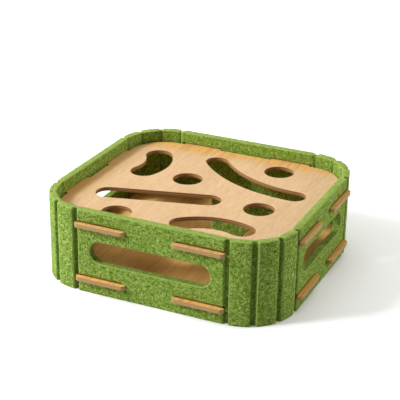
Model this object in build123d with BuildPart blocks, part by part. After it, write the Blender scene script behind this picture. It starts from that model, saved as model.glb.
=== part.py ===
from build123d import *
import os

# A low box for pets to fish toys out of: one grooved felt strip folded round two plywood boards, with a
# felt divider between the boards.
# Millimetres, +Z up. The origin is the middle of the footprint, on the ground.
# The front faces -Y, and X runs along it.

# Felt wall strip
outer_width = 300.0
outer_depth = 280.0
wall_height = 100.0
felt_thickness = 9.0
corner_radius = 50.0
folds_per_corner = 4
groove_depth = 4.5
groove_width = 4.0
groove_mouth = 6.0

# Windows in the front, right and left walls, a little above the middle of the space inside
window_height = 27.0
window_rise = 1.75
window_end_margin = 17.5

# Plywood boards
board_thickness = 5.0
rim_depth = 14.5
base_clearance = 15.0
board_clearance = 3.0

# Tabs: a neck in the felt's slot, and a longer head outside that keeps the felt on
tab_length = 62.0
tab_overhang = 5.5
tab_reach = 6.0
tab_corner_radius = 5.0
tab_fold_distance = 31.5
head_clearance = 0.5

# Play of a neck in its slot, towards the middle of the wall, towards the corner and above
slot_inner_play = 1.0
slot_outer_play = 3.0
slot_headroom = 1.0

# Arch in the divider, for toys to roll through
divider_arch_radius = 30.0

# Sizes of the holes in the upper board
round_hole_diameter = 36.0
straight_slot_width = 30.0
bean_width = 33.0
front_slot_width = 31.0
back_slot_width = 28.0

# Middles of the rounded corners
corner_x = outer_width / 2 - felt_thickness - corner_radius
corner_y = outer_depth / 2 - felt_thickness - corner_radius

# Edges of the boards
board_corner_radius = corner_radius - board_clearance
right = corner_x + board_corner_radius
back = corner_y + board_corner_radius
left = -right
front = -back

# Places of the holes: from the edges that they follow, and otherwise from the middle of the board
round_hole_centers = [
    (-31.5, 25.0),
    (right - 79.0, back - 34.0),
    (right - 59.0, -20.0),
    (left + 76.0, front + 29.5),
]
straight_slot_ends = [(left + 41.0, -52.5), (17.0, -21.5)]
bean_points = [(left + 41.0, back - 48.5), (left + 52.0, back - 79.0), (left + 48.0, back - 103.5)]
front_slot_points = [(18.0, front + 36.0), (54.5, front + 52.0), (right - 54.5, front + 47.5)]
back_slot_points = [(-22.5, back - 36.0), (39.5, 45.0), (right - 36.5, 32.5)]

# Place of the divider: its ends, the middle of its arch, and its distance behind the middle of the box
divider_left = 9.5
divider_right = right - 18.5
divider_arch_x = right - 63.0
divider_y = 8.0

# Each wall as heading, half length between its end folds, and distance of its inner face
front_side = (0, corner_x, corner_y + corner_radius)
right_side = (90, corner_y, corner_x + corner_radius)
back_side = (180, corner_x, corner_y + corner_radius)
left_side = (270, corner_y, corner_x + corner_radius)
sides = [front_side, right_side, back_side, left_side]

# Heights of the boards, the windows and the divider
upper_board_top = wall_height - rim_depth
lower_board_top = base_clearance + board_thickness
board_spacing = upper_board_top - lower_board_top
window_center_height = (upper_board_top - board_thickness + lower_board_top) / 2 + window_rise
divider_height = board_spacing - board_thickness

# Sizes that follow from the fit of the tabs in the felt
neck_length = tab_length - 2 * tab_overhang
neck_reach = board_clearance + felt_thickness + head_clearance
head_depth = tab_reach - head_clearance
slot_length = neck_length + slot_inner_play + slot_outer_play
slot_shift = (slot_outer_play - slot_inner_play) / 2
slot_height = board_thickness + slot_headroom
slots_middle = (upper_board_top + lower_board_top) / 2 - board_thickness + slot_height / 2

os.makedirs("parts", exist_ok=True)


def save(piece, name):
    """Label a finished piece and write it under its name."""
    piece.part.label = name
    export_step(piece.part, f"parts/{name}.step")


# A groove across a fold: its mouth is on the outer face of the felt, and +X points out of the felt
with BuildSketch() as groove:
    with BuildLine():
        Polyline(
            (-groove_depth, -groove_width / 2),
            (0, -groove_mouth / 2),
            (0, groove_mouth / 2),
            (-groove_depth, groove_width / 2),
            close=True,
        )
    make_face()


def make_wall(side, name, has_window):
    """One straight wall, with half a groove at each end, four tab slots and, on three walls, a window."""
    heading, half_length, inner_face = side
    outer_face = inner_face + felt_thickness
    plan = Plane.XY.rotated((0, 0, heading))
    face_origin = plan.from_local_coords((0, -outer_face, 0))
    face = Plane(face_origin, x_dir=plan.x_dir, z_dir=-plan.y_dir)
    slot_center = half_length - tab_fold_distance + slot_shift
    with BuildPart() as wall:
        with BuildSketch(plan):
            with Locations((0, -inner_face)):
                Rectangle(2 * half_length, felt_thickness, align=(Align.CENTER, Align.MAX))
            for end in (-half_length, half_length):
                with Locations(Location((end, -outer_face, 0), (0, 0, -90))):
                    add(groove.sketch, mode=Mode.SUBTRACT)
        extrude(amount=wall_height)
        with BuildSketch(face):
            with Locations((0, slots_middle)):
                with GridLocations(2 * slot_center, board_spacing, 2, 2):
                    Rectangle(slot_length, slot_height)
            if has_window:
                with Locations((0, window_center_height)):
                    SlotOverall(2 * (half_length - window_end_margin), window_height)
        extrude(amount=-felt_thickness, mode=Mode.SUBTRACT)
    save(wall, name)


def make_corner(center, heading, name):
    """One rounded corner: a quarter of a ring, with a groove at each fold."""
    outer_radius = corner_radius + felt_thickness
    with BuildPart() as corner:
        with BuildSketch(Plane(center).rotated((0, 0, heading))):
            Circle(outer_radius)
            Circle(corner_radius, mode=Mode.SUBTRACT)
            Rectangle(outer_radius, outer_radius, align=(Align.MIN, Align.MAX), mode=Mode.INTERSECT)
            with PolarLocations(outer_radius, folds_per_corner, -90, 90, endpoint=True):
                add(groove.sketch, mode=Mode.SUBTRACT)
        extrude(amount=wall_height)
    save(corner, name)


def tab_places():
    """Two places on each side where a tab leaves the edge of a board."""
    places = []
    for heading, half_length, inner_face in sides:
        plan = Plane.XY.rotated((0, 0, heading))
        for end in (-1, 1):
            root = (end * (half_length - tab_fold_distance), board_clearance - inner_face, 0)
            places.append(plan.location * Location(root))
    return places


make_wall(front_side, "front_wall", has_window=True)
make_wall(right_side, "right_wall", has_window=True)
make_wall(back_side, "back_wall", has_window=False)
make_wall(left_side, "left_wall", has_window=True)
make_corner((corner_x, -corner_y, 0), 0, "front_right_corner")
make_corner((corner_x, corner_y, 0), 90, "back_right_corner")
make_corner((-corner_x, corner_y, 0), 180, "back_left_corner")
make_corner((-corner_x, -corner_y, 0), 270, "front_left_corner")

# One tab, with its root at the origin and its head towards -Y
with BuildSketch() as tab:
    with Locations((0, -neck_reach / 2)):
        Rectangle(neck_length, neck_reach)
    with Locations((0, -neck_reach - head_depth / 2)):
        Rectangle(tab_length, head_depth)
    fillet(tab.vertices().group_by(Axis.Y)[0], radius=tab_corner_radius)

# Outline that both boards share: rounded to follow the felt, with two tabs on each side
with BuildSketch() as board_outline:
    RectangleRounded(right - left, back - front, board_corner_radius)
    with Locations(*tab_places()):
        add(tab.sketch)

# Middle lines of the three curved holes
bean_line = ThreePointArc(*bean_points)
front_slot_line = ThreePointArc(*front_slot_points)
back_slot_line = ThreePointArc(*back_slot_points)
straight_slot_line = Line(*straight_slot_ends)

with BuildPart() as upper_board:
    with BuildSketch(Plane.XY.offset(upper_board_top - board_thickness)):
        add(board_outline.sketch)
        with Locations(*round_hole_centers):
            Circle(round_hole_diameter / 2, mode=Mode.SUBTRACT)
        SlotArc(straight_slot_line, straight_slot_width, mode=Mode.SUBTRACT)
        SlotArc(bean_line, bean_width, mode=Mode.SUBTRACT)
        SlotArc(front_slot_line, front_slot_width, mode=Mode.SUBTRACT)
        SlotArc(back_slot_line, back_slot_width, mode=Mode.SUBTRACT)
    extrude(amount=board_thickness)
save(upper_board, "upper_board")

with BuildPart() as lower_board:
    with BuildSketch(Plane.XY.offset(lower_board_top - board_thickness)):
        add(board_outline.sketch)
    extrude(amount=board_thickness)
save(lower_board, "lower_board")

# The divider stands on the lower board and reaches the upper one
divider_plane = Plane((0, divider_y, lower_board_top), x_dir=(1, 0, 0), z_dir=(0, -1, 0))
with BuildPart() as divider:
    with BuildSketch(divider_plane):
        with Locations(((divider_left + divider_right) / 2, 0)):
            Rectangle(divider_right - divider_left, divider_height, align=(Align.CENTER, Align.MIN))
        with Locations((divider_arch_x, 0)):
            Circle(divider_arch_radius, mode=Mode.SUBTRACT)
    extrude(amount=felt_thickness / 2, both=True)
save(divider, "divider")
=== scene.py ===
# %% [markdown]
# # A felt and plywood puzzle box for pets
# The toy is a low box that a cat reaches into. One long strip of thick green felt stands on its edge and
# goes round two plywood boards. Tabs on the boards reach through slots in the felt and hold it shut, so
# there is no screw, glue or thread anywhere. A felt divider with an arch stands between the boards. The
# imported model already has every piece at its real size. This file gives those pieces their looks: felt
# that is soft, heathered and paler at its cut edges, and bare sanded plywood with plies that show at
# every edge. Some light and shade is painted into their colours: highlights on the felt's rim and
# arrises, shade in its grooves, warm shade on the plywood beside the felt, and a brighter, more orange
# tone for the lower board in the dim inside of the box.

# %% Load the imported model
import math

import bmesh
import bpy
import numpy as np
from mathutils import Matrix, Vector


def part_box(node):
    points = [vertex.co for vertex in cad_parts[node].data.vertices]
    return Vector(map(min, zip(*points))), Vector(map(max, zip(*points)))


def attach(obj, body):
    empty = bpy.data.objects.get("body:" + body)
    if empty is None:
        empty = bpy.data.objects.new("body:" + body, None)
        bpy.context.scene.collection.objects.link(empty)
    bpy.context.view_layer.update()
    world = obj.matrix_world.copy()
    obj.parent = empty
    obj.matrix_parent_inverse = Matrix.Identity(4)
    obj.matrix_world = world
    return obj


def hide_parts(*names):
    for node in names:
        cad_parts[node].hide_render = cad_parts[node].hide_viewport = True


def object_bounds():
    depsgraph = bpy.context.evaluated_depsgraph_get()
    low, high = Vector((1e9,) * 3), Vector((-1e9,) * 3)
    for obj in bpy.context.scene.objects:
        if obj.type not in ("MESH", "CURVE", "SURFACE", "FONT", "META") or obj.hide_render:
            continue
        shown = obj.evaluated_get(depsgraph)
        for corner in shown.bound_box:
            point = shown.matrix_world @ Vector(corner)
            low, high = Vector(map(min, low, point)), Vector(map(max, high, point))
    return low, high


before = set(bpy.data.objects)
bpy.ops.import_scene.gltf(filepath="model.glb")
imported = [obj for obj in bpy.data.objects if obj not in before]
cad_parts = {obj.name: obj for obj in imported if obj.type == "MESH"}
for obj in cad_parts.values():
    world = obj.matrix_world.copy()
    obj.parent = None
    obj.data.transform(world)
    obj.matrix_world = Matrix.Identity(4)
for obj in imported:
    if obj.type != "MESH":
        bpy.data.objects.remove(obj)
cad_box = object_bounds()
scene = bpy.context.scene
scene.view_settings.view_transform = "Standard"
print("nodes:", sorted(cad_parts))
print("box:", [tuple(round(v, 4) for v in corner) for corner in cad_box])

# %% [markdown]
# ## Helpers for node trees
# Light, finishes and shapes that follow a path are all node trees in Blender. Written out link by link
# they grow long, so these helpers do the wiring: one adds a node with its inputs already set or linked,
# one makes a group with named sockets, and the rest are the few sums that nearly every finish needs.

# %% Node helpers
NUMBER, VECTOR, WHOLE = "NodeSocketFloat", "NodeSocketVector", "NodeSocketInt"
SHAPE, OBJECT, MATERIAL = "NodeSocketGeometry", "NodeSocketObject", "NodeSocketMaterial"


def add(tree, kind, inputs=None, **settings):
    """A new node, with its settings made and each input set to a value or linked to an output."""
    node = tree.nodes.new(kind)
    for name, value in settings.items():
        setattr(node, name, value)
    for name, value in (inputs or {}).items():
        if isinstance(value, bpy.types.NodeSocket):
            tree.links.new(value, node.inputs[name])
        else:
            node.inputs[name].default_value = value
    return node


def new_group(kind, name, inputs, outputs):
    """An empty node group with named sockets, and the two nodes that stand for them inside it."""
    tree = bpy.data.node_groups.new(name, kind)
    for direction, sockets in (("INPUT", inputs), ("OUTPUT", outputs)):
        for label, socket_type in sockets:
            tree.interface.new_socket(label, in_out=direction, socket_type=socket_type)
    return tree, tree.nodes.new("NodeGroupInput"), tree.nodes.new("NodeGroupOutput")


def calculate(tree, operation, first, second=0.0):
    """The result of a sum, a product or the like on two numbers."""
    return add(tree, "ShaderNodeMath", {0: first, 1: second}, operation=operation).outputs[0]


def calculate_vector(tree, operation, first, second=(0, 0, 0)):
    """The same for two vectors."""
    return add(tree, "ShaderNodeVectorMath", {0: first, 1: second}, operation=operation).outputs[0]


def between(tree, value, start, end):
    """A mask that is 0 where the value is at start, 1 where it is at end, and smooth between them."""
    limits = {"Value": value, "From Min": start, "From Max": end}
    return add(tree, "ShaderNodeMapRange", limits, interpolation_type="SMOOTHSTEP").outputs[0]


def mix_colours(tree, mask, first, second):
    """The first colour where the mask is 0, and the second where it is 1."""
    return add(tree, "ShaderNodeMix", {0: mask, 6: first, 7: second}, data_type="RGBA").outputs[2]


def mix_in(tree, colour, mask, share, other):
    """A colour with a share of another one mixed in where a mask is 1."""
    return mix_colours(tree, calculate(tree, "MULTIPLY", mask, share), colour, other)


def set_surface(shader, values):
    """Set plain numbers and colours on a shader's own sockets."""
    for name, value in values.items():
        shader.inputs[name].default_value = value


def seen_directly(tree):
    """A mask that is 1 where the camera, a mirror or glass looks straight at a surface."""
    path = add(tree, "ShaderNodeLightPath").outputs
    straight = calculate(tree, "MAXIMUM", path["Is Camera Ray"], path["Is Glossy Ray"])
    return calculate(tree, "MAXIMUM", straight, path["Is Transmission Ray"])


print("helpers:", [f.__name__ for f in (add, new_group, calculate, between, mix_colours, mix_in)])

# %% [markdown]
# ## Camera
# The photograph was taken from the front and a little to the right, from above the rim, with a long
# lens. The numbers below were found by matching the corners, folds and tabs to the picture: a direction,
# a slight roll, a distance, and the focal length in pixels of a picture 400 pixels wide. The shift only
# moves the object to its place in the frame, as cropping a print would.

# %% Camera
PICTURE_PIXELS = 400
FOCAL_PIXELS = 1192.9
CENTRE_OFFSET_PIXELS = (2.48, 18.37)
SENSOR_WIDTH = 36.0
camera_azimuth = math.radians(24.26)
camera_elevation = math.radians(24.50)
camera_roll = math.radians(0.96)
camera_distance = 1.411
aim = Vector((0, 0, (cad_box[0].z + cad_box[1].z) / 2))

backward = Vector((
    math.sin(camera_azimuth) * math.cos(camera_elevation),
    -math.cos(camera_azimuth) * math.cos(camera_elevation),
    math.sin(camera_elevation),
))
sideways = Vector((0, 0, 1)).cross(backward).normalized()
upward = backward.cross(sideways)
turned = Matrix((sideways, upward, backward)).transposed() @ Matrix.Rotation(camera_roll, 3, "Z")

camera_data = bpy.data.cameras.new("camera")
camera_data.sensor_width = SENSOR_WIDTH
camera_data.lens = SENSOR_WIDTH * FOCAL_PIXELS / PICTURE_PIXELS
camera_data.shift_x = -CENTRE_OFFSET_PIXELS[0] / PICTURE_PIXELS
camera_data.shift_y = CENTRE_OFFSET_PIXELS[1] / PICTURE_PIXELS
camera = bpy.data.objects.new("camera", camera_data)
camera.matrix_world = Matrix.Translation(aim + backward * camera_distance) @ turned.to_4x4()
scene.collection.objects.link(camera)
scene.camera = camera
print("lens:", round(camera_data.lens, 1), "mm")

# %% [markdown]
# ## Light
# One lamp stands to the front left, so that the toy's shadow falls to the right and away from the
# camera. The shadow's edge is a little soft, so the lamp is a sun ten degrees wide. A soft box on the
# left brightens the left corner, one behind on the right lifts the wall in the shade, and one overhead
# opens the shadow that the rim throws on the upper board. White studio walls fill the rest. They are the
# world here. The levels are plain ones, at which a colour looks about as it is written, and the camera
# sees the walls as pure white.

# %% Sun, soft boxes and studio walls
TOWARDS_SUN = Vector((-1.05, -0.78, 1.0))
SUN_STRENGTH = 1.95
SUN_SIZE = math.radians(10.0)
# Name, place, size in metres, power in watts and colour
SOFT_BOXES = [
    ("left_soft_box", Vector((-0.95, -0.36, 0.62)), 0.7, 10.5, (1.0, 1.0, 1.0)),
    ("right_soft_box", Vector((1.25, 1.05, 0.48)), 0.5, 13.0, (1.0, 0.96, 0.87)),
    ("top_soft_box", Vector((0.0, 0.25, 1.35)), 0.9, 4.0, (1.0, 0.96, 0.87)),
]
FILL_STRENGTH = 0.22
FILL_COLOUR = (1.0, 0.97, 0.78, 1)
WHITE = (1, 1, 1, 1)


def add_lamp(name, kind, towards, strength):
    """A lamp that shines at the object from the given direction."""
    data = bpy.data.lights.new(name, kind)
    data.energy = strength
    lamp = bpy.data.objects.new(name, data)
    lamp.rotation_mode = "QUATERNION"
    lamp.rotation_quaternion = towards.to_track_quat("Z", "Y")
    lamp.visible_camera = False
    scene.collection.objects.link(lamp)
    return lamp


sun = add_lamp("sun", "SUN", TOWARDS_SUN, SUN_STRENGTH)
sun.data.angle = SUN_SIZE
for name, place, size, strength, lamp_colour in SOFT_BOXES:
    soft_box = add_lamp(name, "AREA", place, strength)
    soft_box.location = place
    soft_box.data.size = size
    soft_box.data.color = lamp_colour

world = bpy.data.worlds.new("studio")
scene.world = world
world.use_nodes = True
tree = world.node_tree
tree.nodes.clear()
fill = add(tree, "ShaderNodeBackground", {"Color": FILL_COLOUR, "Strength": FILL_STRENGTH})
backdrop = add(tree, "ShaderNodeBackground", {"Color": WHITE, "Strength": 1.0})
shaders = {0: seen_directly(tree), 1: fill.outputs[0], 2: backdrop.outputs[0]}
studio = add(tree, "ShaderNodeMixShader", shaders)
add(tree, "ShaderNodeOutputWorld", {"Surface": studio.outputs[0]})

# %% [markdown]
# ## Floor
# The floor is white paper. The camera sees it as a glow that reaches white together with the lamps'
# light, so the shadow stays, but pale, as on a bright table. The glow fades close to the toy, which
# draws a soft shade round its foot, and it rises far from the toy, out of the lamps' reach. To every
# other ray the floor is plain white paper, which throws soft light back up at the felt.

# %% Floor
FLOOR_HALF_SIZE = 6.0
FLOOR_GLOW = 0.36
FLOOR_GLOW_TINT = (0.93, 0.95, 1.00, 1)
FAR_GLOW = 0.35
FAR_GLOW_RISE = (0.7, 1.7)
FLOOR_SHADED = (0.92, 0.93, 1.00, 1)
FLOOR_PAPER = 0.75
CONTACT_REACH = 0.16

floor_mesh = bpy.data.meshes.new("floor")
corners = [(-1, -1), (1, -1), (1, 1), (-1, 1)]
floor_points = [(x * FLOOR_HALF_SIZE, y * FLOOR_HALF_SIZE, 0) for x, y in corners]
floor_mesh.from_pydata(floor_points, [], [(0, 1, 2, 3)])
floor = bpy.data.objects.new("floor", floor_mesh)
scene.collection.objects.link(floor)

floor_material = bpy.data.materials.new("white_floor")
floor_material.use_nodes = True
tree = floor_material.node_tree
tree.nodes.clear()
contact = add(tree, "ShaderNodeAmbientOcclusion", {"Distance": CONTACT_REACH}).outputs["AO"]
floor_place = add(tree, "ShaderNodeTexCoord").outputs["Object"]
from_toy = add(tree, "ShaderNodeVectorMath", {0: floor_place}, operation="LENGTH").outputs["Value"]
far_glow = calculate(tree, "MULTIPLY", between(tree, from_toy, *FAR_GLOW_RISE), FAR_GLOW)
open_glow = calculate(tree, "ADD", far_glow, FLOOR_GLOW)
glow_strength = calculate(tree, "MULTIPLY", contact, open_glow)
glow = add(tree, "ShaderNodeEmission", {"Color": FLOOR_GLOW_TINT, "Strength": glow_strength})
shaded = add(tree, "ShaderNodeBsdfDiffuse", {"Color": FLOOR_SHADED})
looked_at = add(tree, "ShaderNodeAddShader", {0: glow.outputs[0], 1: shaded.outputs[0]})
paper = add(tree, "ShaderNodeBsdfDiffuse", {"Color": (FLOOR_PAPER, FLOOR_PAPER, FLOOR_PAPER, 1)})
shaders = {0: seen_directly(tree), 1: paper.outputs[0], 2: looked_at.outputs[0]}
surface = add(tree, "ShaderNodeMixShader", shaders)
add(tree, "ShaderNodeOutputMaterial", {"Surface": surface.outputs[0]})
floor_mesh.materials.append(floor_material)
print("floor:", 2 * FLOOR_HALF_SIZE, "m square")

# %% [markdown]
# ## Felt, unfolded
# The real wall starts as one flat strip: slots and windows are punched, grooves are milled, and only
# then is it folded round the boards. This cell goes the other way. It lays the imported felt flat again,
# wall after wall and corner after corner, so that the next cells can soften one flat block along its own
# grain. The strip starts and ends at a fold of the back left corner, where its two ends meet. The
# divider is flat already, so it is only moved to the start of the same flat space.

# %% Plan of the strip
# The stretches in order along the strip, and the way each faces in degrees: 0 is to the front, and a
# corner has that of the wall before it
STRIP = [
    ("back_left_corner", 180),
    ("left_wall", 270),
    ("front_left_corner", 270),
    ("front_wall", 0),
    ("front_right_corner", 0),
    ("right_wall", 90),
    ("back_right_corner", 90),
    ("back_wall", 180),
]
FACETS_PER_CORNER = 3
FACET_SHARE = 0.35
PATH_STEPS_PER_FACET = 10
PATH_STEP_ALONG_WALL = 0.004

front_low, front_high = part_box("front_wall")
right_low, right_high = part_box("right_wall")
felt_thickness = front_high.y - front_low.y
inner_half = Vector((right_low.x, -front_high.y))
corner_centre = Vector((front_high.x, right_high.y))
corner_radius = inner_half.x - corner_centre.x


def heading_axes(heading):
    """Unit vectors along a wall, seen from outside to the right, and out of it."""
    turn = math.radians(heading)
    return Vector((math.cos(turn), math.sin(turn))), Vector((math.sin(turn), -math.cos(turn)))


def middle_of_corner(heading):
    """The middle that a corner's arcs turn about."""
    along, out = heading_axes(heading)
    towards = along + out
    return Vector((math.copysign(corner_centre.x, towards.x), math.copysign(corner_centre.y, towards.y)))


def corner_point(heading, share):
    """A point of the inner face at a corner: an arc, drawn in a little between its folds."""
    along, out = heading_axes(heading)
    middle = middle_of_corner(heading)

    def on_arc(angle):
        return middle + corner_radius * (math.sin(angle) * along + math.cos(angle) * out)

    step = math.pi / 2 / FACETS_PER_CORNER
    facet = min(int(share * FACETS_PER_CORNER), FACETS_PER_CORNER - 1)
    within = share * FACETS_PER_CORNER - facet
    chord = on_arc(facet * step).lerp(on_arc((facet + 1) * step), within)
    return on_arc(share * math.pi / 2).lerp(chord, FACET_SHARE)


def wall_sizes(heading):
    """Half the length of a wall between its end folds, and the distance of its inner face."""
    across = heading % 180 == 0
    return (corner_centre.x, inner_half.y) if across else (corner_centre.y, inner_half.x)


plan_points = []
strip_starts = {}
strip_length = 0.0
for name, heading in STRIP:
    strip_starts[name] = strip_length
    if name.endswith("corner"):
        steps = FACETS_PER_CORNER * PATH_STEPS_PER_FACET
        run = [corner_point(heading, i / steps) for i in range(steps + 1)]
    else:
        along, out = heading_axes(heading)
        half, face = wall_sizes(heading)
        steps = round(2 * half / PATH_STEP_ALONG_WALL)
        run = [along * half * (2 * i / steps - 1) + out * face for i in range(steps + 1)]
    strip_length += sum((b - a).length for a, b in zip(run, run[1:]))
    plan_points += run if not plan_points else run[1:]
corner_length = strip_starts["left_wall"]
print("strip:", round(strip_length * 1000, 1), "mm long,", len(plan_points), "points in its plan")

# %% Felt laid flat
SAME_PLACE = 1e-5
INNER_FACE_NORMAL = 0.99


def lay_flat(name, heading, point):
    """Where a point of the folded felt lies on the flat strip: along it, outwards as -Y, and up."""
    along, out = heading_axes(heading)
    if name.endswith("wall"):
        half, face = wall_sizes(heading)
        return Vector((strip_starts[name] + half + point.xy.dot(along), face - point.xy.dot(out), point.z))
    spoke = point.xy - middle_of_corner(heading)
    angle = math.atan2(spoke.dot(along), spoke.dot(out))
    share = angle / (math.pi / 2)
    return Vector((strip_starts[name] + corner_length * share, corner_radius - spoke.length, point.z))


def finish_block(block, name):
    """Join a flat block's faces and make it an object. Gives the object and its area from one side."""
    bmesh.ops.remove_doubles(block, verts=block.verts, dist=SAME_PLACE)
    bmesh.ops.delete(block, geom=[v for v in block.verts if not v.link_faces], context="VERTS")
    open_edges = sum(1 for e in block.edges if len(e.link_faces) != 2)
    area = sum(f.calc_area() for f in block.faces if f.normal.y > INNER_FACE_NORMAL)
    mesh = bpy.data.meshes.new(name + "_flat")
    block.to_mesh(mesh)
    block.free()
    thing = bpy.data.objects.new(name, mesh)
    scene.collection.objects.link(thing)
    print(name, "cut from", round(area * 1e4), "square centimetres of felt,", open_edges, "open edges")
    return thing, area


stretch_ends = [strip_starts[name] for name, _ in STRIP[1:]]
strip_block = bmesh.new()
for name, heading in STRIP:
    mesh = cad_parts[name].data
    laid = [lay_flat(name, heading, v.co) for v in mesh.vertices]
    made = [strip_block.verts.new(p) for p in laid]
    for face in mesh.polygons:
        places = [laid[i].x for i in face.vertices]
        inside_felt = any(all(abs(p - end) < SAME_PLACE for p in places) for end in stretch_ends)
        if not inside_felt:
            strip_block.faces.new([made[i] for i in face.vertices])
felt_wall, wall_area = finish_block(strip_block, "felt_wall")

divider_low, divider_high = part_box("divider")
divider_block = bmesh.new()
divider_block.from_mesh(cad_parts["divider"].data)
bmesh.ops.translate(divider_block, verts=divider_block.verts, vec=(-divider_low.x, -divider_high.y, 0))
felt_divider, divider_area = finish_block(divider_block, "felt_divider")

# %% [markdown]
# ## Felt, softened
# Felt has no sharp edges: its cut fibres spread a little. A voxel remesh would round the thin slots
# away, so a remesh that keeps corners turns each block into even small faces, and one round of smoothing
# takes the edge off the rim, the windows and the grooves. The inner face of the strip then gets a
# shallow crease at each fold, where the felt is squeezed.

# %% Felt softened
FELT_CELL = 0.00155
SOFTENING_ROUNDS = 1
SOFTENING_FACTOR = 0.5
CREASE_DEPTH = 0.0020
CREASE_HALF_WIDTH = 0.0028


def as_plain_mesh(thing, name):
    """The evaluated shape of an object as a mesh of its own, with the modifiers taken off."""
    bpy.context.view_layer.update()
    evaluated = thing.evaluated_get(bpy.context.evaluated_depsgraph_get())
    mesh = bpy.data.meshes.new_from_object(evaluated)
    mesh.name = name
    thing.modifiers.clear()
    old = thing.data
    thing.data = mesh
    bpy.data.meshes.remove(old)
    return mesh


def read_rows(layer, name):
    """The vectors of a mesh's layer as rows of three numbers."""
    rows = np.empty(len(layer) * 3)
    layer.foreach_get(name, rows)
    return rows.reshape(-1, 3)


def soften(thing):
    """Give a block of felt even small faces and soft edges."""
    cells = max(thing.dimensions) / FELT_CELL
    remesh = thing.modifiers.new("even faces", "REMESH")
    remesh.mode = "SHARP"
    remesh.octree_depth = math.ceil(math.log2(cells))
    remesh.scale = cells / 2**remesh.octree_depth
    remesh.use_remove_disconnected = False
    smooth = thing.modifiers.new("soft edges", "SMOOTH")
    smooth.factor = SOFTENING_FACTOR
    smooth.iterations = SOFTENING_ROUNDS
    mesh = as_plain_mesh(thing, thing.name + "_soft")
    print(thing.name, "has", len(mesh.vertices), "points")


def press_creases(mesh, folds):
    """Press the inner face in along each fold. It fades out a third of the way through the felt."""
    points = read_rows(mesh.vertices, "co")
    to_fold = np.min(np.abs(points[:, 0:1] - np.array(folds)[None, :]), axis=1)
    near_inner_face = np.clip(1 + points[:, 1] / (felt_thickness / 3), 0, 1)
    points[:, 1] -= CREASE_DEPTH * np.clip(1 - to_fold / CREASE_HALF_WIDTH, 0, 1) * near_inner_face
    mesh.vertices.foreach_set("co", points.ravel())
    mesh.update()


soften(felt_wall)
soften(felt_divider)
folds = []
for name, _ in STRIP:
    if name.endswith("corner"):
        shares = [k / FACETS_PER_CORNER for k in range(FACETS_PER_CORNER + 1)]
        folds += [strip_starts[name] + corner_length * share for share in shares]
press_creases(felt_wall.data, folds)
print("creases:", len(folds))

# %% [markdown]
# ## Edges, grooves and rim
# The finish makes the felt paler on an arris and on the top of the rim, and darker in a groove. On an
# arris that is partly the paler cut fibres and partly a painted highlight, on the rim's top mostly a
# painted highlight for the light from above, and in a groove painted shade. A finish only knows the point
# that it colours, not the shape around it. A shader's pointiness can tell, but only in one render engine.
# So two numbers are kept at each point of the mesh, and go wherever the mesh goes: how far the point
# stands out from the middle of its neighbours, and how much it belongs to the top of the rim.

# %% Edges, grooves and rim
EDGE_ROUNDS = 2
RIM_REACH = 0.004


def keep_value(mesh, name, values):
    """Store a number for each point of a mesh."""
    mesh.attributes.new(name, "FLOAT", "POINT").data.foreach_set("value", values)


def mark_edges(mesh):
    """Keep how far each point stands out from its neighbours, and how much it lies on the rim."""
    points = read_rows(mesh.vertices, "co")
    normals = read_rows(mesh.vertex_normals, "vector")
    ends = np.empty(len(mesh.edges) * 2, dtype=np.int64)
    mesh.edges.foreach_get("vertices", ends)
    ends = ends.reshape(-1, 2)
    neighbours = np.bincount(ends.ravel(), minlength=len(points)).astype(float)

    def mean_of_neighbours(values):
        total = np.bincount(ends[:, 0], values[ends[:, 1]], len(points))
        total += np.bincount(ends[:, 1], values[ends[:, 0]], len(points))
        return total / neighbours

    drawn_in = np.stack([mean_of_neighbours(points[:, axis]) for axis in range(3)], axis=1) - points
    edge = -np.sum(drawn_in * normals, axis=1) / FELT_CELL
    for _ in range(EDGE_ROUNDS):
        edge = (edge + mean_of_neighbours(edge)) / 2
    keep_value(mesh, "edge", edge)
    at_rim = np.clip(1 - (points[:, 2].max() - points[:, 2]) / RIM_REACH, 0, 1)
    # The rim's top faces up, and the finish paints a highlight there for the light from above
    keep_value(mesh, "rim", at_rim * np.clip(normals[:, 2], 0, 1))
    print("edge: from", round(edge.min(), 2), "in a groove to", round(edge.max(), 2), "on an arris")


mark_edges(felt_wall.data)
mark_edges(felt_divider.data)

# %% [markdown]
# ## Felt, folded
# The fold follows a path, so Geometry Nodes make it. The path is the plan of the inner face. Each point
# of the flat strip looks up its place along the path, steps out of the face by its own depth, and keeps
# its height. A little noise swells the surface first, because felt is never quite flat. The flat place
# is stored too, so that the finish can follow the felt through its folds and cut edges. The divider goes
# through the same tree, along a straight path.

# %% Fold tree
fold_tree, given, result = new_group(
    "GeometryNodeTree",
    "fold along the plan",
    [("Strip", SHAPE), ("Plan", OBJECT), ("Swell", NUMBER), ("Swell Scale", NUMBER), ("Finish", MATERIAL)],
    [("Felt", SHAPE)],
)
tree = fold_tree
here = add(tree, "GeometryNodeInputPosition").outputs[0]
marked = add(
    tree,
    "GeometryNodeStoreNamedAttribute",
    {"Geometry": given.outputs["Strip"], "Name": "flat", "Value": here},
    data_type="FLOAT_VECTOR",
    domain="POINT",
)
noise = add(tree, "ShaderNodeTexNoise", {"Scale": given.outputs["Swell Scale"], "Detail": 3.0}).outputs[0]
height = calculate(tree, "MULTIPLY", calculate(tree, "SUBTRACT", noise, 0.5), given.outputs["Swell"])
normal = add(tree, "GeometryNodeInputNormal").outputs[0]
lift = add(tree, "ShaderNodeVectorMath", {0: normal, "Scale": height}, operation="SCALE").outputs[0]
swollen = add(tree, "GeometryNodeSetPosition", {"Geometry": marked.outputs[0], "Offset": lift})

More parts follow.
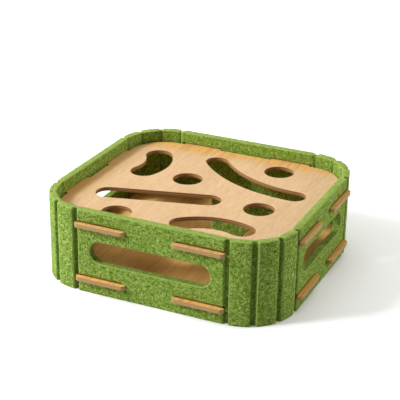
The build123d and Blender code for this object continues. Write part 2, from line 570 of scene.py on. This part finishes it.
place = add(tree, "ShaderNodeSeparateXYZ", {0: here}).outputs
plan_info = add(tree, "GeometryNodeObjectInfo", {"Object": given.outputs["Plan"]})
look_up = add(
    tree,
    "GeometryNodeSampleCurve",
    {"Curves": plan_info.outputs["Geometry"]},
    mode="LENGTH",
    use_all_curves=True,
)
tree.links.new(place["X"], look_up.inputs["Length"])
inwards = calculate_vector(tree, "CROSS_PRODUCT", (0, 0, 1), look_up.outputs["Tangent"])
depth = add(tree, "ShaderNodeVectorMath", {0: inwards, "Scale": place["Y"]}, operation="SCALE").outputs[0]
upright = add(tree, "ShaderNodeCombineXYZ", {"Z": place["Z"]}).outputs[0]
on_plan = calculate_vector(tree, "ADD", look_up.outputs["Position"], depth)
folded = add(
    tree,
    "GeometryNodeSetPosition",
    {"Geometry": swollen.outputs[0], "Position": calculate_vector(tree, "ADD", on_plan, upright)},
)
rounded = add(tree, "GeometryNodeSetShadeSmooth", {"Geometry": folded.outputs[0]})
whole = add(tree, "GeometryNodeRealizeInstances", {"Geometry": rounded.outputs[0]})
dressed = {"Geometry": whole.outputs[0], "Material": given.outputs["Finish"]}
finished = add(tree, "GeometryNodeSetMaterial", dressed)
tree.links.new(finished.outputs[0], result.inputs["Felt"])
print("fold tree:", len(tree.nodes), "nodes")

# %% Fold the felt
SWELL = 0.0009
SWELL_SCALE = 160.0


def use_tree(thing, tree, values):
    """Put a tree on an object, with its inputs set by the sockets' identifiers."""
    modifier = thing.modifiers.new(tree.name, "NODES")
    modifier.node_group = tree
    for item in tree.interface.items_tree:
        if item.item_type == "SOCKET" and item.in_out == "INPUT" and item.name in values:
            modifier[item.identifier] = values[item.name]


def draw_plan(name, places):
    """A curve on the ground through a list of places."""
    curve = bpy.data.curves.new(name, "CURVE")
    curve.dimensions = "3D"
    spline = curve.splines.new("POLY")
    spline.points.add(len(places) - 1)
    for point, place in zip(spline.points, places):
        point.co = (place.x, place.y, 0, 1)
    return bpy.data.objects.new(name, curve)


def fold(thing, places, nodes):
    """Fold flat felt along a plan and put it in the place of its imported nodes."""
    plan = draw_plan(thing.name + "_plan", places)
    values = {"Plan": plan, "Swell": SWELL, "Swell Scale": SWELL_SCALE, "Finish": felt_material}
    use_tree(thing, fold_tree, values)
    mesh = as_plain_mesh(thing, thing.name)
    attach(thing, "root")
    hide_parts(*nodes)
    print(thing.name, "has", len(mesh.polygons), "faces and stands for", len(nodes), "nodes")


felt_material = bpy.data.materials.new("green_felt")
felt_material.use_nodes = True
fold(felt_wall, plan_points, [name for name, _ in STRIP])
divider_ends = [Vector((x, divider_high.y)) for x in (divider_low.x, divider_high.x)]
fold(felt_divider, divider_ends, ["divider"])

# %% [markdown]
# ## Tangle of fibres
# Heathered felt is a tangle of dyed fibres: pale, middle and deep green threads a few millimetres long,
# pressed together in small clumps. Real hairs would be millions of strands, so noise draws them. Noise
# that is stretched and turned three ways in the plane of the sheet gives the threads, and rounder noise
# the clumps. It is a group with named sizes, so the finish can set them to the felt's own.

# %% Tangle of fibres
THREAD_TURNS = (0.3, 1.4, 2.5)
PALE_LIMITS = (0.56, 0.68)
DEEP_LIMITS = (0.45, 0.32)
CLUMP_LIMITS = (0.34, 0.66)

tangle_group, given, result = new_group(
    "ShaderNodeTree",
    "felt tangle",
    [("Place", VECTOR), ("Thread Length", NUMBER), ("Thread Width", NUMBER), ("Clump Size", NUMBER)],
    [("Pale", NUMBER), ("Deep", NUMBER), ("Clumps", NUMBER), ("Height", NUMBER)],
)
tree = tangle_group
per_length = calculate(tree, "DIVIDE", 1.0, given.outputs["Thread Length"])
per_width = calculate(tree, "DIVIDE", 1.0, given.outputs["Thread Width"])
stretch = add(tree, "ShaderNodeCombineXYZ", {"X": per_length, "Y": per_width, "Z": per_width}).outputs[0]
pale, deep = 0.0, 0.0
for turn in THREAD_TURNS:
    spun = add(
        tree,
        "ShaderNodeVectorRotate",
        {"Vector": given.outputs["Place"], "Center": (turn, turn, turn), "Angle": turn},
        rotation_type="Y_AXIS",
    )
    drawn_out = calculate_vector(tree, "MULTIPLY", spun.outputs[0], stretch)
    threads = add(tree, "ShaderNodeTexNoise", {"Vector": drawn_out, "Scale": 1.0, "Detail": 2.0}).outputs[0]
    pale = calculate(tree, "MAXIMUM", between(tree, threads, *PALE_LIMITS), pale)
    deep = calculate(tree, "MAXIMUM", between(tree, threads, *DEEP_LIMITS), deep)
per_clump = calculate(tree, "DIVIDE", 1.0, given.outputs["Clump Size"])
clump_noise = add(
    tree,
    "ShaderNodeTexNoise",
    {"Vector": given.outputs["Place"], "Scale": per_clump, "Detail": 3.0, "Roughness": 0.65},
).outputs[0]
clumps = between(tree, clump_noise, *CLUMP_LIMITS)
relief = calculate(tree, "ADD", calculate(tree, "SUBTRACT", pale, deep), clumps)
for label, value in (("Pale", pale), ("Deep", deep), ("Clumps", clumps), ("Height", relief)):
    tree.links.new(value, result.inputs[label])
print("felt tangle:", len(tree.nodes), "nodes")

# %% [markdown]
# ## Felt finish
# The tangle reads the flat place that the fold has stored, so it runs on through the folds and the cut
# edges, where coordinates of the folded box would smear it. Clumps of deep and middle green lie under the
# threads. The numbers kept at each point make the arrises paler, partly for the paler cut fibres and
# partly as a painted highlight, paint a highlight on the rim's top and paint shade into the grooves. A
# bump lifts the pale threads, and a little sheen stands for the loose hairs on top.

# %% Felt finish
TANGLE_SIZES = {"Thread Length": 0.0042, "Thread Width": 0.0008, "Clump Size": 0.0045}
TANGLE_BUMP = {"Strength": 0.7, "Distance": 0.0007}
DEEP_GREEN = (0.120, 0.232, 0.011, 1)
MIDDLE_GREEN = (0.280, 0.456, 0.048, 1)
PALE_THREAD = (0.620, 0.780, 0.255, 1)
DEEP_THREAD = (0.036, 0.084, 0.004, 1)
PALE_CUT_AND_HIGHLIGHT = (0.480, 0.627, 0.166, 1)
PALE_SHARE = 0.85
DEEP_SHARE = 0.54
RIM_HIGHLIGHT_LIMITS = (0.2, 0.8)
RIM_HIGHLIGHT_SHARE = 0.35
ARRIS_HIGHLIGHT_LIMITS = (0.10, 0.22)
ARRIS_HIGHLIGHT_SHARE = 0.75
GROOVE_SHADE_LIMITS = (-0.03, -0.14)
GROOVE_SHADE_SHARE = 0.42
FELT_SURFACE = {
    "Roughness": 0.95,
    "Specular IOR Level": 0.05,
    "Sheen Weight": 0.15,
    "Sheen Roughness": 0.6,
    "Sheen Tint": (0.650, 0.740, 0.320, 1),
}

tree = felt_material.node_tree
shader = tree.nodes["Principled BSDF"]
flat_place = add(tree, "ShaderNodeAttribute", attribute_name="flat").outputs["Vector"]
stands_out = add(tree, "ShaderNodeAttribute", attribute_name="edge").outputs["Fac"]
rim_highlight = add(tree, "ShaderNodeAttribute", attribute_name="rim").outputs["Fac"]
tangle_inputs = {"Place": flat_place, **TANGLE_SIZES}
tangle = add(tree, "ShaderNodeGroup", tangle_inputs, node_tree=tangle_group).outputs
colour = mix_colours(tree, tangle["Clumps"], DEEP_GREEN, MIDDLE_GREEN)
colour = mix_in(tree, colour, tangle["Pale"], PALE_SHARE, PALE_THREAD)
colour = mix_in(tree, colour, tangle["Deep"], DEEP_SHARE, DEEP_THREAD)
# Painted highlight on the rim's top, for the light from above, partly paler cut felt
colour = mix_in(tree, colour, between(tree, rim_highlight, *RIM_HIGHLIGHT_LIMITS), RIM_HIGHLIGHT_SHARE, PALE_CUT_AND_HIGHLIGHT)
# Paler cut fibres on the arrises, partly a painted highlight
colour = mix_in(tree, colour, between(tree, stands_out, *ARRIS_HIGHLIGHT_LIMITS), ARRIS_HIGHLIGHT_SHARE, PALE_CUT_AND_HIGHLIGHT)
# Painted shade in the grooves
colour = mix_in(tree, colour, between(tree, stands_out, *GROOVE_SHADE_LIMITS), GROOVE_SHADE_SHARE, DEEP_THREAD)
bump = add(tree, "ShaderNodeBump", {"Height": tangle["Height"], **TANGLE_BUMP})
tree.links.new(colour, shader.inputs["Base Color"])
tree.links.new(bump.outputs[0], shader.inputs["Normal"])
set_surface(shader, FELT_SURFACE)
print("felt finish:", len(tree.nodes), "nodes")

# %% [markdown]
# ## Wood grain
# Both boards are five-ply birch, sanded and left bare. Birch veneer has fine streaks and short flecks along
# the grain, which runs from front to back, in slightly paler and darker bands. A wave texture can draw
# grain too, but it looks ruled, so this group uses stretched noise at three scales. The boards place it
# twice, for the fine grain and for a few long growth lines.

# %% Wood grain
GRAIN_WAVER = 0.35
# Output, scale and detail of the noise, and the limits between which the mask rises
GRAIN_LAYERS = [
    ("Streaks", 1.0, 3.0, (0.30, 0.70)),
    ("Flecks", 1.7, 1.0, (0.58, 0.72)),
    ("Bands", 0.07, 2.0, (0.35, 0.65)),
]

grain_group, given, result = new_group(
    "ShaderNodeTree",
    "wood grain",
    [("Place", VECTOR), ("Streak Width", NUMBER), ("Streak Length", NUMBER)],
    [("Streaks", NUMBER), ("Flecks", NUMBER), ("Bands", NUMBER)],
)
tree = grain_group
per_width = calculate(tree, "DIVIDE", 1.0, given.outputs["Streak Width"])
per_length = calculate(tree, "DIVIDE", 1.0, given.outputs["Streak Length"])
stretch = add(tree, "ShaderNodeCombineXYZ", {"X": per_width, "Y": per_length, "Z": per_width}).outputs[0]
drawn_out = calculate_vector(tree, "MULTIPLY", given.outputs["Place"], stretch)
for label, scale, detail, limits in GRAIN_LAYERS:
    noise = add(
        tree,
        "ShaderNodeTexNoise",
        {"Vector": drawn_out, "Scale": scale, "Detail": detail, "Distortion": GRAIN_WAVER},
    ).outputs[0]
    tree.links.new(between(tree, noise, *limits), result.inputs[label])
print("wood grain:", len(tree.nodes), "nodes")

# %% [markdown]
# ## Plies
# At a cut edge plywood shows its layers: pale, brown, pale, brown and pale again. They lie flat at fixed
# heights in the board, so modelling them would only add faces. A colour ramp over the height above the
# board's lower face draws them all at once, on tabs, holes and outline alike.

# %% Plies
# Share of the board's thickness, from below, and how pale it is there
PLY_TONES = [
    (0.00, 0.85),
    (0.14, 0.80),
    (0.20, 0.25),
    (0.38, 0.35),
    (0.45, 0.90),
    (0.58, 0.85),
    (0.65, 0.25),
    (0.82, 0.30),
    (0.89, 0.80),
]

ply_group, given, result = new_group(
    "ShaderNodeTree",
    "plies",
    [("Height", NUMBER), ("Thickness", NUMBER)],
    [("Tone", NUMBER)],
)
tree = ply_group
share = calculate(tree, "DIVIDE", given.outputs["Height"], given.outputs["Thickness"])
ramp = add(tree, "ShaderNodeValToRGB", {"Fac": share})
stops = ramp.color_ramp.elements
while len(stops) < len(PLY_TONES):
    stops.new(1.0)
for stop, (at, tone) in zip(stops, PLY_TONES):
    stop.position = at
    stop.color = (tone, tone, tone, 1)
tree.links.new(ramp.outputs["Color"], result.inputs["Tone"])
print("plies:", len(PLY_TONES), "stops")

# %% [markdown]
# ## Painted warm shade at the border and tabs
# The veneer is painted warmer on the tabs and towards the left and back borders, where the limit is
# ragged along the grain. This warm tone is painted shade, for the shade that the felt throws on the board
# beside it. Where a tab passes through the felt, the slot's shade is painted too, as a dark line above the
# tab. These are masks worked out from the place on the board.

# %% Painted warm shade at the border and tabs
WARM_BAND = (0.030, 0.040)
WARM_SHIFT = (0.012, -0.012, 0)
WARM_FADE = (0.022, 0.052)
WARM_RAGGEDNESS = 0.010
TAB_FADE = 0.004
SLOT_LINE = (0.0011, 0.0002)


def past_lines(tree, place, half_x, half_y):
    """How far a place lies past two pairs of lines, in X and in Y. It is below 0 between them."""
    lines = (half_x, half_y, 1.0)
    return calculate_vector(tree, "SUBTRACT", calculate_vector(tree, "ABSOLUTE", place), lines)


def painted_border_shade(tree, place, bands):
    """A mask for painted warm shade that rises towards the left and back borders of a board."""
    shifted = calculate_vector(tree, "SUBTRACT", place, WARM_SHIFT)
    beyond = past_lines(tree, shifted, inner_half.x - WARM_BAND[0], inner_half.y - WARM_BAND[1])
    outside = calculate_vector(tree, "MAXIMUM", beyond)
    distance = add(tree, "ShaderNodeVectorMath", {0: outside}, operation="LENGTH").outputs["Value"]
    ragged = calculate(tree, "ADD", distance, calculate(tree, "MULTIPLY", bands, WARM_RAGGEDNESS))
    return between(tree, ragged, *WARM_FADE)


def tab_masks(tree, place):
    """Two masks: the tabs past the felt's inner face, and their part in the felt, for the painted slot
    shade.
    """
    reach = add(tree, "ShaderNodeSeparateXYZ", {0: past_lines(tree, place, *inner_half)}).outputs
    furthest = calculate(tree, "MAXIMUM", reach["X"], reach["Y"])
    on_tab = between(tree, furthest, 0.0, TAB_FADE)
    line_ends = [felt_thickness + margin for margin in SLOT_LINE]
    in_felt = between(tree, furthest, *line_ends)
    return on_tab, calculate(tree, "MULTIPLY", in_felt, on_tab)


print("half widths at the felt's inner face:", [round(half, 4) for half in inner_half], "m")

# %% [markdown]
# ## Plywood colours
# The faces of a board are one thin veneer, and its edges show the plies, browner all over where the cutter
# has warmed them and paler at the tabs' ends. Each colour starts plain, and masks mix the next tone in,
# from the widest marks to the finest. The two boards differ only in their tones, so one function each for
# faces and edges does for both.

# %% Plywood colours
# Width and length of a streak
FINE_GRAIN = (0.0013, 0.017)
GROWTH_LINES = (0.0038, 0.140)
LINE_LIMITS = (0.50, 0.85)
BAND_SHARE = 0.25
STREAK_SHARE = 0.45
FLECK_SHARE = 0.30
WARM_LINE_SHARE = 0.45
DARK_PLY = (0.194, 0.084, 0.027, 1)
PALE_PLY = (0.439, 0.224, 0.086, 1)
TAB_END = (0.600, 0.420, 0.220, 1)
TAB_END_SHARE = 0.42
EDGE_FLECK_SHARE = 0.2


def add_grain(tree, place, sizes):
    """The outputs of the grain group, for streaks of a width and a length."""
    inputs = {"Place": place, "Streak Width": sizes[0], "Streak Length": sizes[1]}
    return add(tree, "ShaderNodeGroup", inputs, node_tree=grain_group).outputs


def veneer_colour(tree, place, grain, warmed, tones):
    """The colour of a board's faces: bands, painted warm shade, growth lines, streaks and flecks."""
    colour = mix_in(tree, tones["veneer"], grain["Bands"], BAND_SHARE, tones["streak"])
    colour = mix_colours(tree, warmed, colour, tones["warm"])
    lines = between(tree, add_grain(tree, place, GROWTH_LINES)["Streaks"], *LINE_LIMITS)
    # Growth lines are drawn darker within the painted shade
    line_limits = {"Value": warmed, "To Min": tones["line_share"], "To Max": WARM_LINE_SHARE}
    line_share = add(tree, "ShaderNodeMapRange", line_limits).outputs[0]
    colour = mix_in(tree, colour, lines, line_share, tones["line"])
    colour = mix_in(tree, colour, grain["Streaks"], STREAK_SHARE, tones["streak"])
    return mix_in(tree, colour, grain["Flecks"], FLECK_SHARE, tones["line"])


def edge_colour(tree, height, thickness, grain, on_tab):
    """The colour of a board's cut edges: plies, paler at the tabs' ends, with a few dark flecks."""
    sizes = {"Height": height, "Thickness": thickness}
    tone = add(tree, "ShaderNodeGroup", sizes, node_tree=ply_group).outputs["Tone"]
    colour = mix_colours(tree, tone, DARK_PLY, PALE_PLY)
    colour = mix_in(tree, colour, on_tab, TAB_END_SHARE, TAB_END)
    return mix_in(tree, colour, grain["Flecks"], EDGE_FLECK_SHARE, DARK_PLY)


print("streaks:", FINE_GRAIN[0] * 1000, "mm wide, growth lines:", GROWTH_LINES[0] * 1000, "mm wide")

# %% [markdown]
# ## Plywood finish
# The imported boards already have the right shape, so they stay, and two modifiers only join their faces and
# round their edges a little, as sandpaper does. The material tells face from edge by the normal: what
# points up or down is veneer, and the rest shows plies. A slight bump follows the streaks. Bare wood is
# dull, so it shines only a little.

# %% Plywood finish
# Shares and colours of the painted shade: warm at the borders and tabs, dark in the slots
WARM_SHARE = 0.9
SLOT_SHADE = (0.060, 0.030, 0.008, 1)
SLOT_SHARE = 0.65
FACE_LIMITS = (0.55, 0.85)
GRAIN_BUMP = {"Strength": 0.25, "Distance": 0.0002}
PLYWOOD_SURFACE = {"Roughness": 0.62, "Specular IOR Level": 0.25}
EDGE_ROUNDING = 0.0004
EDGE_SEGMENTS = 2
SHARP_ANGLE = math.radians(50)
# Tones of each board; warm is the colour of the painted shade at the borders and tabs
BOARD_TONES = {
    "upper_board": {
        "veneer": (0.735, 0.505, 0.297, 1),
        "streak": (0.520, 0.326, 0.171, 1),
        "line": (0.380, 0.185, 0.052, 1),
        "line_share": 0.08,
        "warm": (0.820, 0.430, 0.100, 1),
    },
    # The lower board is the same birch, but its tones are brighter and more orange: painted light and warm
    # shade for the dim inside of the box
    "lower_board": {
        "veneer": (0.950, 0.600, 0.210, 1),
        "streak": (0.800, 0.440, 0.135, 1),
        "line": (0.300, 0.120, 0.030, 1),
        "line_share": 0.18,
        "warm": (0.900, 0.474, 0.114, 1),
    },
}


def make_plywood(name, tones):
    """The material of one board."""
    low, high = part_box(name)
    material = bpy.data.materials.new(name + "_plywood")
    material.use_nodes = True
    tree = material.node_tree
    shader = tree.nodes["Principled BSDF"]
    place = add(tree, "ShaderNodeTexCoord").outputs["Object"]
    grain = add_grain(tree, place, FINE_GRAIN)
    on_tab, painted_slot_shade = tab_masks(tree, place)
    # Painted warm shade near the left and back borders and on the tabs, where the felt shades the board
    border_and_tab_shade = calculate(tree, "MAXIMUM", painted_border_shade(tree, place, grain["Bands"]), on_tab)
    warmed = calculate(tree, "MULTIPLY", border_and_tab_shade, WARM_SHARE)
    face = veneer_colour(tree, place, grain, warmed, tones)
    # Painted shade of the slot: a dark line where each tab enters the felt
    face = mix_in(tree, face, painted_slot_shade, SLOT_SHARE, SLOT_SHADE)
    level = add(tree, "ShaderNodeSeparateXYZ", {0: place}).outputs["Z"]
    height = calculate(tree, "SUBTRACT", level, low.z)
    edge = edge_colour(tree, height, high.z - low.z, grain, on_tab)
    normal = add(tree, "ShaderNodeNewGeometry").outputs["Normal"]
    upright = add(tree, "ShaderNodeSeparateXYZ", {0: normal}).outputs["Z"]
    is_face = between(tree, calculate(tree, "ABSOLUTE", upright), *FACE_LIMITS)
    relief = calculate(tree, "MULTIPLY", grain["Streaks"], is_face)
    bump = add(tree, "ShaderNodeBump", {"Height": relief, **GRAIN_BUMP})
    tree.links.new(mix_colours(tree, is_face, edge, face), shader.inputs["Base Color"])
    tree.links.new(bump.outputs[0], shader.inputs["Normal"])
    set_surface(shader, PLYWOOD_SURFACE)
    return material


def sand_edges(board):
    """Join a board's faces and round its sharp edges."""
    board.modifiers.new("joined faces", "WELD").merge_threshold = SAME_PLACE
    sanding = board.modifiers.new("sanded edges", "BEVEL")
    sanding.width = EDGE_ROUNDING
    sanding.segments = EDGE_SEGMENTS
    sanding.limit_method = "ANGLE"
    sanding.angle_limit = SHARP_ANGLE


for name, tones in BOARD_TONES.items():
    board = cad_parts[name]
    board.data.materials.clear()
    board.data.materials.append(make_plywood(name, tones))
    sand_edges(board)
    print(name, "has", len(board.data.materials[0].node_tree.nodes), "nodes in its finish")
